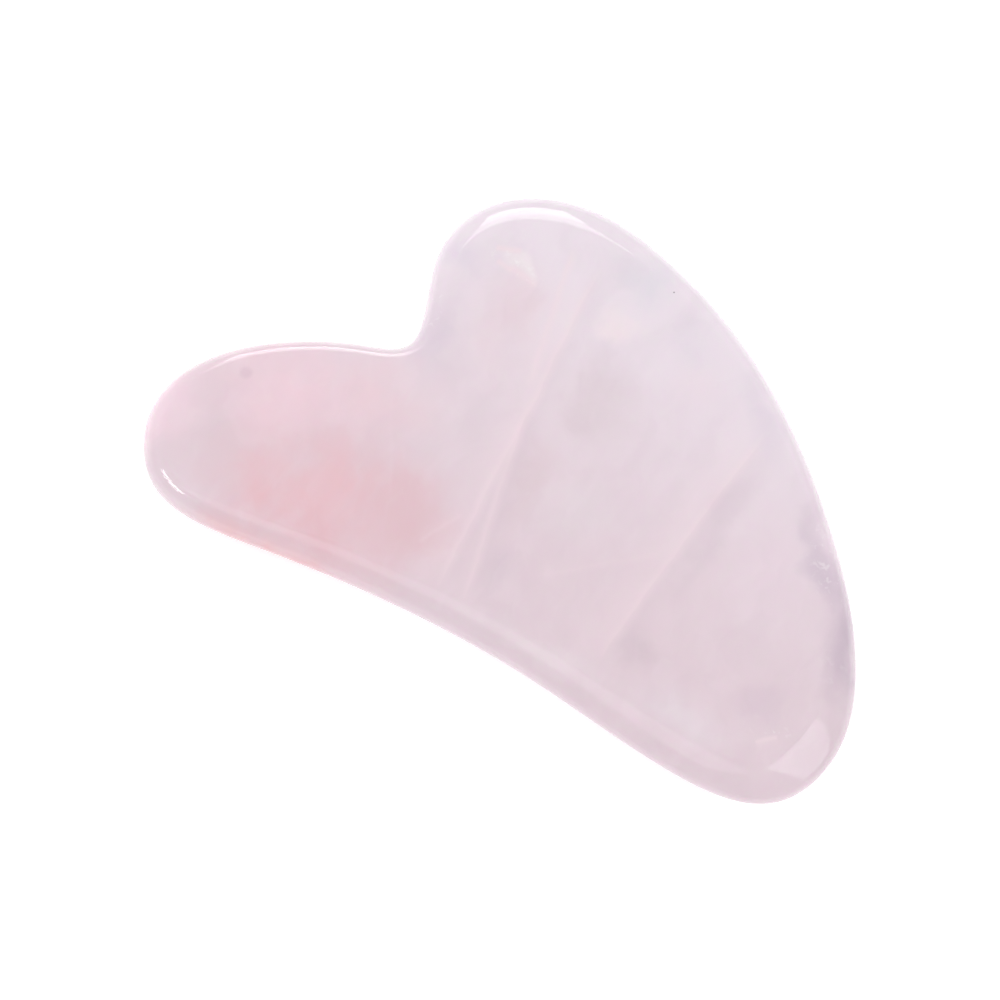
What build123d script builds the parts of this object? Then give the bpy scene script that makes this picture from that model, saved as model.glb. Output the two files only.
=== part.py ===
"""Heart-shaped gua sha scraper: one slab of rose quartz, cut to outline and polished all over.

Frame, in millimetres: X runs along the hollowed scraping side, Y points from that side to the
lobes, and Z is up through the thickness. The origin is the middle of the footprint, on the face
that the board lies on.
"""

import os

from build123d import *

# Driving dimensions
length = 83.0  # along X, from the end of the small lobe to the end of the tail
width = 53.0  # along Y, from the scraping side to the top of the large lobe
thickness = 5.0
rim_band = 0.4  # height of the straight band round the rim, between its two roundings

rim_radius = (thickness - rim_band) / 2

# The outline is one smooth closed curve, anticlockwise through these places. Each place is given
# as shares of half the length and half the width, from the middle of the footprint.
outline_shares = [
    (0.658, 0.285),  # back, its flattest stretch
    (0.271, 0.751),  # back, turning towards the large lobe
    (-0.075, 0.964),  # large lobe, where the back runs into it
    (-0.266, 0.999),  # large lobe, its top
    (-0.503, 0.845),  # large lobe, inner corner
    (-0.570, 0.500),  # large lobe, the wall down to the notch
    (-0.519, 0.064),  # notch, its bottom
    (-0.617, -0.008),  # small lobe, where it leaves the notch
    (-0.995, -0.703),  # small lobe, its end
    (-0.915, -0.917),  # small lobe, outer corner
    (-0.560, -0.972),  # scraping side, before the hollow
    (0.262, -0.935),  # scraping side, in the hollow
    (0.617, -0.995),  # scraping side, after the hollow
    (0.942, -0.883),  # tail, outer corner
    (0.998, -0.659),  # tail, its end
    (0.931, -0.246),  # back, above the tail
]


def make_scraper_stone():
    """The whole board: its outline at full thickness, with the rim rounded to both faces."""
    with BuildPart() as scraper_stone:
        with BuildSketch(Plane.XY):
            with BuildLine():
                Spline(
                    [(x * length / 2, y * width / 2) for x, y in outline_shares],
                    periodic=True,
                )
            make_face()
        extrude(amount=thickness)
        flat_faces = scraper_stone.faces().filter_by(Axis.Z)
        fillet(flat_faces.edges(), radius=rim_radius)
    scraper_stone.part.label = "scraper_stone"
    return scraper_stone.part


os.makedirs("parts", exist_ok=True)
scraper = make_scraper_stone()
export_step(scraper, "parts/scraper_stone.step")

box = scraper.bounding_box()
print("size", box.size)
print("lowest", box.min, "highest", box.max)
print("volume", round(scraper.volume, 1))
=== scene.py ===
"""A heart-shaped gua sha board of polished rose quartz, lying on a plain white table.

The CAD board gives the outline and the thickness. This script gives the board the rounding that
hand polishing leaves, and fills it with rose quartz's veins, milky clouds, clear windows and pink
heart, which are formulas and noise in space, so they run through the stone from face to face.
Places and sizes inside the stone are in millimetres, and everything else is in metres.
"""

import math

import bmesh
import bpy
import numpy as np
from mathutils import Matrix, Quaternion, Vector, noise
from mathutils.geometry import delaunay_2d_cdt


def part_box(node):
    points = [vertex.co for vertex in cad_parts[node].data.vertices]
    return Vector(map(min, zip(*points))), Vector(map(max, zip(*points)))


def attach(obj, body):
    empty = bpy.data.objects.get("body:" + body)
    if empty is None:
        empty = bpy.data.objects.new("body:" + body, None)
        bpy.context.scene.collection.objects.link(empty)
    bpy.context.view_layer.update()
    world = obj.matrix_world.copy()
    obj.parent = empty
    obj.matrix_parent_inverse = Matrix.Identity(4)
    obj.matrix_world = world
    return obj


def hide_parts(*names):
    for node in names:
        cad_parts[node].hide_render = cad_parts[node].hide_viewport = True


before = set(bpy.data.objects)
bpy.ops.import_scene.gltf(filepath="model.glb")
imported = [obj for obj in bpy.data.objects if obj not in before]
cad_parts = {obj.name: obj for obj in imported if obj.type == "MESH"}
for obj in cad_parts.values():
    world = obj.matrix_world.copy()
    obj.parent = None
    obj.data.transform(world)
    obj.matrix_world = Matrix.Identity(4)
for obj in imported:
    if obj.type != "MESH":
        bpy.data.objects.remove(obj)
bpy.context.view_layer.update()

MM = 0.001
NODE = "scraper_stone"
cad_low, cad_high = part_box(NODE)
HALF_THICKNESS = (cad_high.z - cad_low.z) / 2
MID_HEIGHT = (cad_high.z + cad_low.z) / 2
RIM_BAND = 0.3 * MM  # the CAD rim's straight band lies within this distance of its middle
TOUCHING = 0.001 * MM  # points closer than this are taken as one
TOP_MM = (cad_high.z - cad_low.z) / MM

# The polished board
OUTLINE_POINTS = 720
RIM_RINGS = 22  # from the edge of each face down to the middle of the rim
CROWN_DROP = 0.16 * MM  # how far the faces fall away towards the rim
CROWN_REACH = 2.4 * MM  # this far in from the outline, the fall is about a third of that
FACE_GRID = 0.9 * MM  # spacing of the points that fill a face
FACE_MARGIN = 0.6 * FACE_GRID  # the least gap between those points and the face's edge
RIPPLE = 0.02 * MM  # unevenness that hand polishing leaves
RIPPLE_SIZE = 9 * MM
RIM_SMOOTHING = (16, 8, 4)  # outline points that each smoothing of the rim's width reaches
INSIDE_BORDER = 1  # makes the triangulation keep only what is inside the face's edge
SAME_PLACE = 1e-9

# Places round the rim in millimetres, and how wide its rounding is there, seen from above
RIM_WIDTHS = [
    ((-41.0, -16.0), 2.2),  # tip of the longer lobe
    ((-36.0, -7.0), 2.0),
    ((-28.0, -2.5), 1.9),  # its upper side
    ((-21.5, 2.0), 1.6),  # the notch
    ((-22.0, 16.0), 3.0),
    ((-16.0, 23.5), 4.2),  # tip of the shorter lobe
    ((-9.0, 26.0), 3.4),
    ((8.0, 21.5), 2.2),
    ((33.0, -1.0), 1.5),  # the back
    ((41.0, -12.5), 3.8),
    ((40.0, -20.0), 6.4),  # the tail, ground blunter
    ((35.5, -25.5), 5.6),
    ((12.0, -24.0), 3.9),  # the hollow scraping side
    ((-10.0, -27.0), 3.1),
    ((-30.0, -26.0), 2.5),
]

# The camera, as the board is pictured: from high up, its long side running down to the right
CAMERA_ELEVATION = 67.0
CAMERA_AZIMUTH = 29.53
CAMERA_DISTANCE = 0.5953
CAMERA_LENS = 200.0
LOOK_AT = Vector((-3.574, -8.368, 2.5)) * MM

# The table
TABLE_HALF_SIZE = 3.0
TABLE_WHITE = (0.95, 0.95, 0.95)
TABLE_ROUGHNESS = 0.8
TABLE_GLOW = 0.3

# The studio: a white room, and lamps that face the board
ROOM_LIGHT = 0.56
LAMP_DISTANCE = 1.2

# Name, azimuth and elevation in degrees, width, height, radiance, roll in degrees
LAMPS = [
    ("overhead", -25, 70, 0.45, 0.50, 0.8, 0),  # the sheen along the hollow scraping side
    ("back", -147.5, 32.5, 0.46, 0.40, 4.2, 0),  # the highlights on the upper rims of both lobes
    ("back_upper", -147.5, 49, 0.42, 0.29, 2.4, 0),  # their weaker inner side
    ("left", -44, 37, 0.50, 0.26, 7.0, 0),  # the small highlight low on the longer lobe
    ("right", 99, 47.5, 0.52, 1.42, 1.6, -11),  # the bright patch on the tail
]


def cad_outline():
    """The corners of the CAD board's outline, anticlockwise, from where its rim is widest."""
    bm = bmesh.new()
    bm.from_mesh(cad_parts[NODE].data)
    bmesh.ops.remove_doubles(bm, verts=bm.verts, dist=TOUCHING)
    heights = [round(v.co.z / TOUCHING) for v in bm.verts if abs(v.co.z - MID_HEIGHT) < RIM_BAND]
    level = max(sorted(set(heights)), key=heights.count) * TOUCHING
    on_level = {v for v in bm.verts if abs(v.co.z - level) < TOUCHING}

    def beside(vert):
        return [e.other_vert(vert) for e in vert.link_edges if e.other_vert(vert) in on_level]

    walked = [max(on_level, key=lambda v: v.co.x)]
    walked.append(max(beside(walked[0]), key=lambda v: v.co.y))
    while walked[-1] is not walked[0]:
        walked += [v for v in beside(walked[-1]) if v is not walked[-2]]
    outline = np.array([v.co[:2] for v in walked[:-1]])
    bm.free()
    return outline


def smooth_loop(corners, count):
    """Evenly spaced points on the closed cubic spline through the corners."""
    gaps = np.linalg.norm(np.roll(corners, -1, 0) - corners, axis=1)
    before = np.roll(gaps, 1)
    n = len(corners)
    system = np.zeros((n, n))
    rows = np.arange(n)
    system[rows, rows] = 2 * (before + gaps)
    system[rows, rows - 1] = gaps
    system[rows, (rows + 1) % n] = before
    slope = (np.roll(corners, -1, 0) - corners) / gaps[:, None]
    wanted = 3 * (gaps[:, None] * np.roll(slope, 1, 0) + before[:, None] * slope)
    tangents = np.linalg.solve(system, wanted)
    ends = np.cumsum(gaps)
    length = np.linspace(0, ends[-1], count, endpoint=False)
    span = np.searchsorted(ends, length, side="right")
    t = (length - (ends - gaps)[span]) / gaps[span]
    t = t[:, None]
    p, q = corners[span], np.roll(corners, -1, 0)[span]
    m, k = tangents[span] * gaps[span, None], np.roll(tangents, -1, 0)[span] * gaps[span, None]
    return (
        p * (2 * t**3 - 3 * t**2 + 1)
        + m * (t**3 - 2 * t**2 + t)
        + q * (3 * t**2 - 2 * t**3)
        + k * (t**3 - t**2)
    )


def inward_normals(loop):
    """Unit vectors from each point of an anticlockwise loop towards its inside."""
    along = np.roll(loop, -1, 0) - np.roll(loop, 1, 0)
    along /= np.linalg.norm(along, axis=1)[:, None]
    return np.stack([-along[:, 1], along[:, 0]], axis=1)


def face_height(inset, rim_width):
    """How high the polished face is over the middle plane, at a distance in from the outline."""
    share = np.clip(1 - inset / rim_width, 0, 1)
    crown = CROWN_DROP * np.exp(-np.maximum(inset, 0) / CROWN_REACH)
    return (HALF_THICKNESS - crown) * np.sqrt(1 - share**2)


def ripple(x, y, side):
    """How far the polish dips at a place on the upper (1) or lower (-1) face."""
    place = Vector((x, y, side * HALF_THICKNESS)) / RIPPLE_SIZE
    return RIPPLE * (1 - noise.noise(place)) / 2


def rim_widths(outline):
    """How wide the rim's rounding is at every point of the outline."""
    places = [np.linalg.norm(outline - np.array(p) * MM, axis=1).argmin() for p, _ in RIM_WIDTHS]
    chosen = [width * MM for _, width in RIM_WIDTHS]
    widths = np.interp(np.arange(len(outline)), places, chosen, period=len(outline))
    for step in RIM_SMOOTHING:
        widths = (np.roll(widths, step) + widths + np.roll(widths, -step)) / 3
    return widths


def build_stone():
    """The board's skin: rings round the rim, and a face of evenly spaced points on each side."""
    outline = smooth_loop(cad_outline(), OUTLINE_POINTS)
    inward = inward_normals(outline)
    rim = rim_widths(outline)

    stone = bpy.data.meshes.new("gua_sha_stone")
    bm = bmesh.new()
    angles = np.linspace(0, math.pi / 2, RIM_RINGS + 1)
    rings = []
    for angle in angles[1:]:
        inset = rim * (1 - math.sin(angle))
        places = outline + inward * inset[:, None]
        rings.append((places, face_height(inset, rim)))
    face_edge = outline + inward * rim[:, None]
    edge_height = face_height(rim, rim)

    def loop_of(places, heights, side):
        return [
            bm.verts.new((x, y, MID_HEIGHT + side * (h - ripple(x, y, side))))
            for (x, y), h in zip(places, heights)
        ]

    middle = [bm.verts.new((x, y, MID_HEIGHT)) for x, y in outline]
    for side in (1, -1):
        loops = [loop_of(face_edge, edge_height, side)]
        loops += [loop_of(places, heights, side) for places, heights in rings[:-1]]
        loops.append(middle)
        for upper, lower in zip(loops, loops[1:]):
            for i in range(OUTLINE_POINTS):
                j = (i + 1) % OUTLINE_POINTS
                bm.faces.new((upper[i], lower[i], lower[j], upper[j])[::side])
        fill_face(bm, loops[0], face_edge, outline, rim, side)
    bm.to_mesh(stone)
    bm.free()
    for polygon in stone.polygons:
        polygon.use_smooth = True
    piece = bpy.data.objects.new("gua_sha_stone", stone)
    bpy.context.scene.collection.objects.link(piece)
    return piece


def fill_face(bm, edge_verts, edge_places, outline, rim, side):
    """Fills one face inside its edge with evenly spaced points, each at the height of the crown."""
    xs = np.arange(cad_low.x, cad_high.x, FACE_GRID)
    row_gap = FACE_GRID * math.sqrt(3) / 2
    inner = []
    for row, y in enumerate(np.arange(cad_low.y, cad_high.y, row_gap)):
        for x in xs + FACE_GRID / 2 * (row % 2):
            gaps = np.hypot(outline[:, 0] - x, outline[:, 1] - y)
            nearest = gaps.argmin()
            if gaps[nearest] > rim[nearest] + FACE_MARGIN and inside(x, y, edge_places):
                inner.append((x, y, gaps[nearest], rim[nearest]))
    places = [Vector(p) for p in edge_places] + [Vector((x, y)) for x, y, _, _ in inner]
    count = len(edge_places)
    border = [(i, (i + 1) % count) for i in range(count)]
    _, _, triangles, came_from, _, _ = delaunay_2d_cdt(
        places, border, [], INSIDE_BORDER, SAME_PLACE
    )
    verts = list(edge_verts)
    for x, y, inset, width in inner:
        height = face_height(inset, width) - ripple(x, y, side)
        verts.append(bm.verts.new((x, y, MID_HEIGHT + side * height)))
    for triangle in triangles:
        corners = [verts[came_from[i][0]] for i in triangle]
        bm.faces.new(corners[::side])


def inside(x, y, loop):
    """Whether a place is inside a closed loop of points."""
    ahead = np.roll(loop, -1, 0)
    crosses = (loop[:, 1] > y) != (ahead[:, 1] > y)
    a, b = loop[crosses], ahead[crosses]
    hits = a[:, 0] + (y - a[:, 1]) / (b[:, 1] - a[:, 1]) * (b[:, 0] - a[:, 0])
    return (hits > x).sum() % 2 == 1


# The stone's inside, in millimetres, in the board's own frame. Colours are sRGB.
PALE_END = (0.940, 0.900, 0.930)  # towards the lobes
DEEP_END = (0.907, 0.841, 0.870)  # towards the scraping side
PALE_Y = 24.0
DEEP_Y = -17.0
# pale colour of the crack lines and veils, and of the painted glint on the tail
VEIN_AND_GLINT_COLOUR = (0.960, 0.890, 0.913)
SHADE_COLOUR = (0.850, 0.785, 0.825)
FLAW_COLOUR = (0.985, 0.965, 0.975)

# Soft bodies in the quartz: middle, half sizes, turn in degrees, colour, how far it takes over
CLOUDS = [
    ((-20.5, -18.5, 2.5), (19.0, 13.0, 8.0), 8, (0.930, 0.785, 0.812), 1.00),  # pink heart
    ((-25.5, -20.5, 3.0), (7.0, 5.5, 5.0), 20, (0.924, 0.762, 0.790), 0.75),  # its cores
    ((-18.5, -21.5, 3.0), (6.0, 4.5, 5.0), -10, (0.910, 0.757, 0.788), 0.65),
    ((-11.0, -16.0, 3.0), (8.5, 9.0, 6.0), 30, (0.900, 0.782, 0.810), 0.70),
    ((-20.0, -27.5, 2.5), (16.0, 3.6, 5.0), -6, (0.930, 0.760, 0.775), 1.00),  # at the rim
    ((-40.0, -17.0, 2.5), (6.5, 9.0, 6.0), 10, (0.985, 0.882, 0.920), 0.90),  # pale lobe tip
    ((-29.5, -8.5, 3.0), (14.0, 9.0, 6.0), 25, (0.965, 0.846, 0.882), 0.75),
    ((-19.0, -5.0, 2.5), (8.0, 8.0, 6.0), 0, (0.955, 0.830, 0.858), 0.50),
    ((-18.3, 3.5, 3.0), (3.0, 8.0, 6.0), 12, (0.875, 0.825, 0.872), 0.80),  # by the notch
    ((-20.5, 13.5, 3.0), (3.5, 3.0, 5.0), 0, (0.885, 0.845, 0.895), 0.60),
    ((-12.5, 9.5, 2.5), (7.0, 11.0, 6.0), 10, (0.930, 0.845, 0.870), 0.65),  # warm, in the lobe
    ((-2.2, 21.3, 3.0), (5.0, 4.0, 5.0), -10, (0.878, 0.868, 0.900), 0.80),  # clear, at the top
    ((5.5, 17.5, 3.0), (6.5, 3.5, 5.0), -35, (0.890, 0.855, 0.895), 0.60),
    ((17.0, 12.5, 3.0), (8.0, 2.5, 5.0), -42, (0.885, 0.845, 0.890), 0.60),
    ((-1.5, 15.0, 3.5), (4.5, 3.0, 4.0), 10, (0.970, 0.915, 0.930), 0.80),  # bright cloud
    ((9.0, 12.5, 3.5), (5.0, 3.5, 4.0), 0, (0.940, 0.880, 0.910), 0.45),
    ((-15.0, 15.8, 5.0), (4.2, 1.8, 2.5), -25, (0.965, 0.930, 0.940), 0.85),
    ((1.0, 6.0, 2.5), (7.5, 8.0, 6.0), 0, (0.880, 0.825, 0.845), 0.80),  # grey middle
    ((1.3, 8.8, 3.0), (3.5, 3.0, 4.0), -20, (0.865, 0.805, 0.835), 0.30),
    ((-0.5, 3.0, 3.0), (3.5, 3.0, 4.0), 20, (0.860, 0.795, 0.828), 0.30),
    ((-1.5, -6.0, 2.5), (4.5, 8.0, 6.0), 10, (0.880, 0.805, 0.830), 0.60),
    ((5.5, -6.0, 3.0), (7.0, 5.0, 5.0), 20, (0.920, 0.880, 0.898), 0.80),
    ((0.8, -16.5, 3.0), (3.2, 4.2, 5.0), 0, (0.850, 0.790, 0.830), 0.65),  # clear, by the veins
    ((19.3, -1.5, 3.0), (2.5, 11.5, 6.0), -3, (0.855, 0.795, 0.835), 0.45),
    ((18.3, -17.5, 3.0), (4.5, 3.6, 5.0), 0, (0.855, 0.790, 0.822), 0.65),
    ((31.8, -16.2, 3.0), (3.8, 3.2, 5.0), 30, (0.865, 0.790, 0.838), 0.50),
    ((26.0, -2.5, 3.0), (5.0, 10.0, 6.0), 32, (0.925, 0.860, 0.895), 0.85),  # lilac, by the back
    ((30.5, 1.2, 3.0), (2.6, 11.0, 6.0), 42, (0.840, 0.780, 0.830), 0.80),  # clear, at the back
    ((36.4, -6.5, 3.0), (3.6, 9.0, 6.0), 28, (0.800, 0.735, 0.790), 0.75),
    ((10.0, -22.3, 4.0), (15.0, 2.4, 4.0), 0, (0.925, 0.875, 0.895), 0.60),  # by the hollow
    ((26.0, -21.5, 4.0), (7.0, 2.6, 4.0), -4, (0.925, 0.880, 0.905), 0.70),
    ((38.5, -21.5, 2.5), (6.0, 5.5, 6.0), 0, (0.940, 0.872, 0.903), 0.75),  # tail tip
]

CLOUD_CORE = 0.1  # the share of a cloud's size over which it shows in full

# Healed cracks, and a painted glint on the tail drawn the same way: first and second end and lean;
# then the width and strength of the pale line, of the veil on its right, going from the first end
# to the second, and of any shade on its left
VEINS_AND_GLINT = [
    ((-7.0, 21.5), (-3.9, -23.0), 12, (0.90, 0.34), (4.0, 0.26), (3.0, 0.18)),
    ((-10.8, 21.5), (-6.7, 3.0), -10, (0.75, 0.32), (0.9, 0.20), None),
    ((-6.0, 2.0), (-0.4, -22.5), 14, (0.85, 0.30), (2.5, 0.12), (3.0, 0.24)),
    ((17.9, 12.5), (15.2, -21.5), 14, (1.00, 0.30), (6.0, 0.24), (4.0, 0.20)),
    ((15.8, -5.6), (4.0, -16.0), -20, (0.60, 0.10), (2.0, 0.08), None),
    ((-5.6, -12.4), (-8.4, -17.8), 20, (0.40, 0.16), (1.2, 0.12), None),
    ((-20.3, -2.5), (-13.0, -15.5), 5, (0.40, 0.06), (2.0, 0.06), None),
    # painted glint: this short pale line and its veil on the tail stand in for a small reflection,
    # not a crack
    ((33.8, -20.1), (35.8, -18.2), 0, (0.40, 0.45), (1.2, 0.20), None),
    ((-18.4, 16.3), (-15.3, 17.4), 0, (0.60, 0.60), (1.0, 0.15), None),
    ((-17.4, 15.1), (-15.2, 14.8), 0, (0.60, 0.55), (0.8, 0.15), None),
    ((-16.0, 15.2), (-11.8, 14.6), 0, (0.70, 0.55), (1.2, 0.20), None),
]

VEIN_WHOLE = 0.7  # the share of its length over which a crack shows in full
VEIN_EDGE = 0.15  # half the width over which a veil or shade fades in, at the line

# Sprinklings of tiny pale flaws: middle, half sizes, turn in degrees, strength
FLECKS = [
    ((-15.5, 15.6, 4.5), (5.0, 2.4, 2.5), -18, 0.40),
    ((-20.4, 6.5, 4.0), (1.6, 3.5, 2.5), 10, 0.50),
    ((31.0, 1.0, 4.0), (2.6, 8.0, 3.0), 42, 0.40),
    ((37.0, -9.0, 4.0), (2.4, 4.0, 3.0), 20, 0.12),
    ((34.5, -18.0, 4.5), (3.6, 1.6, 2.5), 10, 0.28),
]

FLECK_CORE = 0.2
FLECK_GRAIN = {"Scale": 1.3, "Detail": 4.0, "Distortion": 0.4}
FLECK_FULL, FLECK_NONE = 0.68, 0.56  # grain values between which a fleck fades in

# Streaks: how wide and how long, colour, strength
WISPS = [
    ((4.0, 8.0), (0.840, 0.780, 0.820), 0.16),
    ((2.5, 5.0), (0.965, 0.915, 0.940), 0.14),
]

WISP_TURN = 4  # degrees, the way that the longest crack runs
WISP_GRAIN = {"Scale": 1.0, "Detail": 4.0, "Distortion": 0.3}
WISP_FULL, WISP_NONE = 0.75, 0.40

# Small inclusions: middle, radius, colour, strength
SPECKS = [
    ((1.3, 21.3, 5.0), 0.13, (0.35, 0.28, 0.32), 0.8),
    ((-34.2, -9.8, 4.5), 1.05, (0.82, 0.72, 0.78), 0.28),
]

SPECK_CORE = 0.5

# How noise bends the pattern: the size of the bends, how far they push, and their detail
LOOSE_BENDS = [(9.0, 2.6, 3.0), (3.5, 1.6, 5.0)]  # of the clouds and streaks
TIGHT_BENDS = [(12.0, 0.8, 3.0), (1.5, 0.12, 3.0)]  # of the cracks

# The polished surface
REFRACTIVE_INDEX = 1.54
SMOOTHEST, ROUGHEST = 0.03, 0.07
WEAR_GRAIN = {"Scale": 0.25, "Detail": 4.0}
SCATTER_COLOURS = (1.0, 0.8, 1.0)  # how far red, green and blue spread inside, by comparison
SCATTER_REACH = 0.6 * MM


def add_node(tree, kind, inputs=(), **settings):
    """A new shader node with its settings. An input is a value or another node's output."""
    node = tree.nodes.new(kind)
    for name, value in settings.items():
        setattr(node, name, value)
    for socket, value in dict(inputs).items():
        if isinstance(value, bpy.types.NodeSocket):
            tree.links.new(value, node.inputs[socket])
        else:
            node.inputs[socket].default_value = value
    return node


def calculate(tree, operation, a, b=0.0):
    """The output of a Math node."""
    return add_node(tree, "ShaderNodeMath", {0: a, 1: b}, operation=operation).outputs[0]


def fade(tree, value, full_at, none_at):
    """A smooth fall from 1 where the value is full_at to 0 where it is none_at."""
    ends = {"From Min": none_at, "From Max": full_at, "Value": value}
    node = add_node(tree, "ShaderNodeMapRange", ends, interpolation_type="SMOOTHSTEP")
    return node.outputs["Result"]


def linear(colour):
    """An sRGB colour as the scene-linear RGBA that shaders take."""
    return tuple(((c + 0.055) / 1.055) ** 2.4 for c in colour) + (1.0,)


def mix_in(tree, under, over, share):
    """The colour under, with the colour over laid on it by share."""
    node = add_node(tree, "ShaderNodeMix", data_type="RGBA")
    # The node has sockets for each type of value. These are the ones for colours.
    factor, a, b = (node.inputs[i] for i in (0, 6, 7))
    tree.links.new(share, factor)
    tree.links.new(under, a)
    b.default_value = linear(over)
    return node.outputs[2]


def bent(tree, point, bends):
    """The point pushed about by noise, once for each size of bend."""
    for size, amount, detail in bends:
        inputs = {"Vector": point, "Scale": 1 / size, "Detail": detail}
        field = add_node(tree, "ShaderNodeTexNoise", inputs).outputs["Color"]
        centred = add_node(
            tree, "ShaderNodeVectorMath", {0: field, 1: (0.5, 0.5, 0.5)}, operation="SUBTRACT"
        )
        push = {0: centred.outputs[0], 1: (2 * amount,) * 3, 2: point}
        pushed = add_node(tree, "ShaderNodeVectorMath", push, operation="MULTIPLY_ADD")
        point = pushed.outputs[0]
    return point


def in_frame(tree, point, middle, turn, size=(1, 1, 1)):
    """The point as seen from a frame set at the middle, turned, with that unit along each axis."""
    inputs = {"Vector": point, "Location": middle, "Rotation": turn, "Scale": size}
    return add_node(tree, "ShaderNodeMapping", inputs, vector_type="TEXTURE").outputs[0]


def length_of(tree, vector):
    """The length of a vector, such as the distance from a frame's middle."""
    node = add_node(tree, "ShaderNodeVectorMath", {0: vector}, operation="LENGTH")
    return node.outputs["Value"]


def add_clouds(tree, colour, point):
    """Lays the soft bodies on the colour."""
    for middle, size, turn, tint, strength in CLOUDS:
        gap = length_of(tree, in_frame(tree, point, middle, (0, 0, math.radians(turn)), size))
        share = calculate(tree, "MULTIPLY", fade(tree, gap, CLOUD_CORE, 1.0), strength)
        colour = mix_in(tree, colour, tint, share)
    return colour


def add_veins_and_glint(tree, colour, point):
    """Lays the healed cracks, and the painted glint on the tail, on the colour: each one's veil, its
    shade if any, then its line.
    """
    for start, end, lean, line, veil, shade in VEINS_AND_GLINT:
        across = Vector(end) - Vector(start)
        middle = (Vector(start) + Vector(end)) / 2
        heading = math.atan2(across.y, across.x) - math.pi / 2
        turn = (0, math.radians(lean), heading)
        place = in_frame(tree, point, (*middle, TOP_MM), turn)
        parts = add_node(tree, "ShaderNodeSeparateXYZ", {0: place})
        gap, along = parts.outputs[0], calculate(tree, "ABSOLUTE", parts.outputs[1])
        reach = fade(tree, along, VEIN_WHOLE * across.length / 2, across.length / 2)
        for side, layer, tint in ((1, veil, VEIN_AND_GLINT_COLOUR), (-1, shade, SHADE_COLOUR)):
            if layer is None:
                continue
            width, strength = layer
            aside = calculate(tree, "MULTIPLY", gap, side)
            share = fade(tree, aside, 0.0, width)
            share = calculate(tree, "MULTIPLY", share, fade(tree, aside, VEIN_EDGE, -VEIN_EDGE))
            share = calculate(tree, "MULTIPLY", share, reach)
            colour = mix_in(tree, colour, tint, calculate(tree, "MULTIPLY", share, strength))
        share = fade(tree, calculate(tree, "ABSOLUTE", gap), 0.0, line[0])
        share = calculate(tree, "MULTIPLY", share, reach)
        colour = mix_in(tree, colour, VEIN_AND_GLINT_COLOUR, calculate(tree, "MULTIPLY", share, line[1]))
    return colour


def add_flecks(tree, colour, point):
    """Lays the tiny flaws on the colour."""
    inputs = {"Vector": point, **FLECK_GRAIN}
    grain = add_node(tree, "ShaderNodeTexNoise", inputs).outputs["Fac"]
    flaws = fade(tree, grain, FLECK_FULL, FLECK_NONE)
    for middle, size, turn, strength in FLECKS:
        gap = length_of(tree, in_frame(tree, point, middle, (0, 0, math.radians(turn)), size))
        share = calculate(tree, "MULTIPLY", fade(tree, gap, FLECK_CORE, 1.0), strength)
        share = calculate(tree, "MULTIPLY", share, flaws)
        colour = mix_in(tree, colour, FLAW_COLOUR, share)
    return colour


def add_wisps(tree, colour, point):
    """Faint streaks all through the stone, drawn out along the way that its longest crack runs."""
    for (across, along), tint, strength in WISPS:
        turn = (0, 0, math.radians(WISP_TURN))
        drawn = in_frame(tree, point, (0, 0, 0), turn, (across, along, along))
        inputs = {"Vector": drawn, **WISP_GRAIN}
        field = add_node(tree, "ShaderNodeTexNoise", inputs).outputs["Fac"]
        share = calculate(tree, "MULTIPLY", fade(tree, field, WISP_FULL, WISP_NONE), strength)
        colour = mix_in(tree, colour, tint, share)
    return colour


def add_specks(tree, colour, point):
    """Lays the small inclusions on the colour."""
    for middle, radius, tint, strength in SPECKS:
        gap = length_of(tree, in_frame(tree, point, middle, (0, 0, 0), (radius,) * 3))
        share = calculate(tree, "MULTIPLY", fade(tree, gap, SPECK_CORE, 1.0), strength)
        colour = mix_in(tree, colour, tint, share)
    return colour


def rose_quartz():
    """Polished rose quartz, coloured by where a point is inside the stone."""
    material = bpy.data.materials.new("rose_quartz")
    material.use_nodes = True
    tree = material.node_tree
    shader = tree.nodes["Principled BSDF"]
    place = add_node(tree, "ShaderNodeTexCoord").outputs["Object"]
    point = add_node(
        tree, "ShaderNodeVectorMath", {0: place, 3: 1 / MM}, operation="SCALE"
    ).outputs[0]
    loose = bent(tree, point, LOOSE_BENDS)
    tight = bent(tree, point, TIGHT_BENDS)

    height = add_node(tree, "ShaderNodeSeparateXYZ", {0: loose}).outputs[1]
    base = add_node(tree, "ShaderNodeRGB")
    base.outputs[0].default_value = linear(DEEP_END)
    colour = mix_in(tree, base.outputs[0], PALE_END, fade(tree, height, PALE_Y, DEEP_Y))
    colour = add_clouds(tree, colour, loose)
    colour = add_wisps(tree, colour, loose)
    colour = add_veins_and_glint(tree, colour, tight)
    colour = add_flecks(tree, colour, point)
    colour = add_specks(tree, colour, point)
    tree.links.new(colour, shader.inputs["Base Color"])
    wear = add_node(tree, "ShaderNodeTexNoise", {"Vector": point, **WEAR_GRAIN})
    ends = {"Value": wear.outputs["Fac"], "To Min": SMOOTHEST, "To Max": ROUGHEST}
    roughness = add_node(tree, "ShaderNodeMapRange", ends)
    tree.links.new(roughness.outputs["Result"], shader.inputs["Roughness"])
    shader.inputs["IOR"].default_value = REFRACTIVE_INDEX
    shader.inputs["Subsurface Weight"].default_value = 1.0
    shader.inputs["Subsurface Radius"].default_value = SCATTER_COLOURS
    shader.inputs["Subsurface Scale"].default_value = SCATTER_REACH
    return material


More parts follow.
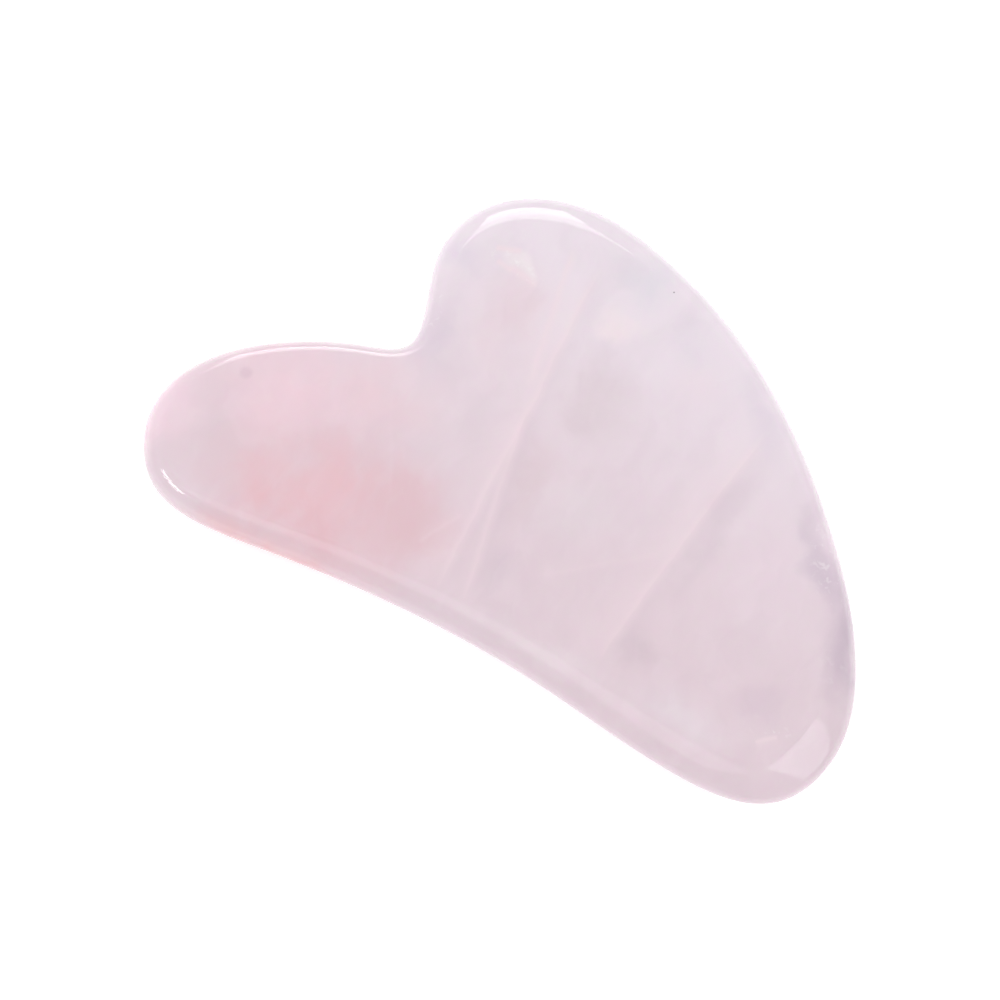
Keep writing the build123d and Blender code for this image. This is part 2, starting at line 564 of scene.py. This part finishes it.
def build_table():
    """A white table that gives off a little light of its own, so that it looks pure white."""
    bm = bmesh.new()
    bmesh.ops.create_grid(bm, x_segments=8, y_segments=8, size=TABLE_HALF_SIZE)
    mesh = bpy.data.meshes.new("table_top")
    bm.to_mesh(mesh)
    bm.free()
    table = bpy.data.objects.new("table_top", mesh)
    bpy.context.scene.collection.objects.link(table)
    table.location.z = cad_low.z
    material = bpy.data.materials.new("white_table")
    material.use_nodes = True
    shader = material.node_tree.nodes["Principled BSDF"]
    shader.inputs["Base Color"].default_value = (*TABLE_WHITE, 1)
    shader.inputs["Roughness"].default_value = TABLE_ROUGHNESS
    shader.inputs["Specular IOR Level"].default_value = 0.0
    shader.inputs["Emission Color"].default_value = (1, 1, 1, 1)
    shader.inputs["Emission Strength"].default_value = TABLE_GLOW
    mesh.materials.append(material)


def direction(azimuth, elevation):
    """A unit vector. Azimuth 0 points along -Y, the side that the view at azimuth 0 is taken from."""
    a, e = math.radians(azimuth), math.radians(elevation)
    return Vector((math.sin(a) * math.cos(e), -math.cos(a) * math.cos(e), math.sin(e)))


def build_camera():
    """The camera, looking at the board from high up."""
    data = bpy.data.cameras.new("camera")
    data.lens = CAMERA_LENS
    camera = bpy.data.objects.new("camera", data)
    bpy.context.scene.collection.objects.link(camera)
    back = direction(CAMERA_AZIMUTH, CAMERA_ELEVATION)
    camera.location = LOOK_AT + back * CAMERA_DISTANCE
    camera.rotation_euler = back.to_track_quat("Z", "Y").to_euler()
    bpy.context.scene.camera = camera


def build_softbox(name, azimuth, elevation, width, height, radiance, roll):
    """A rectangular lamp of even brightness that faces the board, rolled from level."""
    data = bpy.data.lights.new(name, "AREA")
    data.shape = "RECTANGLE"
    data.size = width
    data.size_y = height
    data.energy = radiance * math.pi * width * height
    lamp = bpy.data.objects.new(name, data)
    towards = direction(azimuth, elevation)
    lamp.location = towards * LAMP_DISTANCE
    rolled = Quaternion((0, 0, 1), math.radians(roll))
    lamp.rotation_euler = (towards.to_track_quat("Z", "Y") @ rolled).to_euler()
    lamp.visible_camera = False
    bpy.context.scene.collection.objects.link(lamp)


def build_studio():
    """The room, the lamps, and how the picture's colours and noise are treated."""
    world = bpy.data.worlds.new("white_room")
    world.use_nodes = True
    world.node_tree.nodes["Background"].inputs["Color"].default_value = (1, 1, 1, 1)
    world.node_tree.nodes["Background"].inputs["Strength"].default_value = ROOM_LIGHT
    bpy.context.scene.world = world
    bpy.context.scene.view_settings.view_transform = "Standard"
    bpy.context.scene.cycles.use_denoising = True
    for lamp in LAMPS:
        build_softbox(*lamp)


stone = build_stone()
stone.data.materials.append(rose_quartz())
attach(stone, "root")
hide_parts(NODE)
build_table()
build_camera()
build_studio()
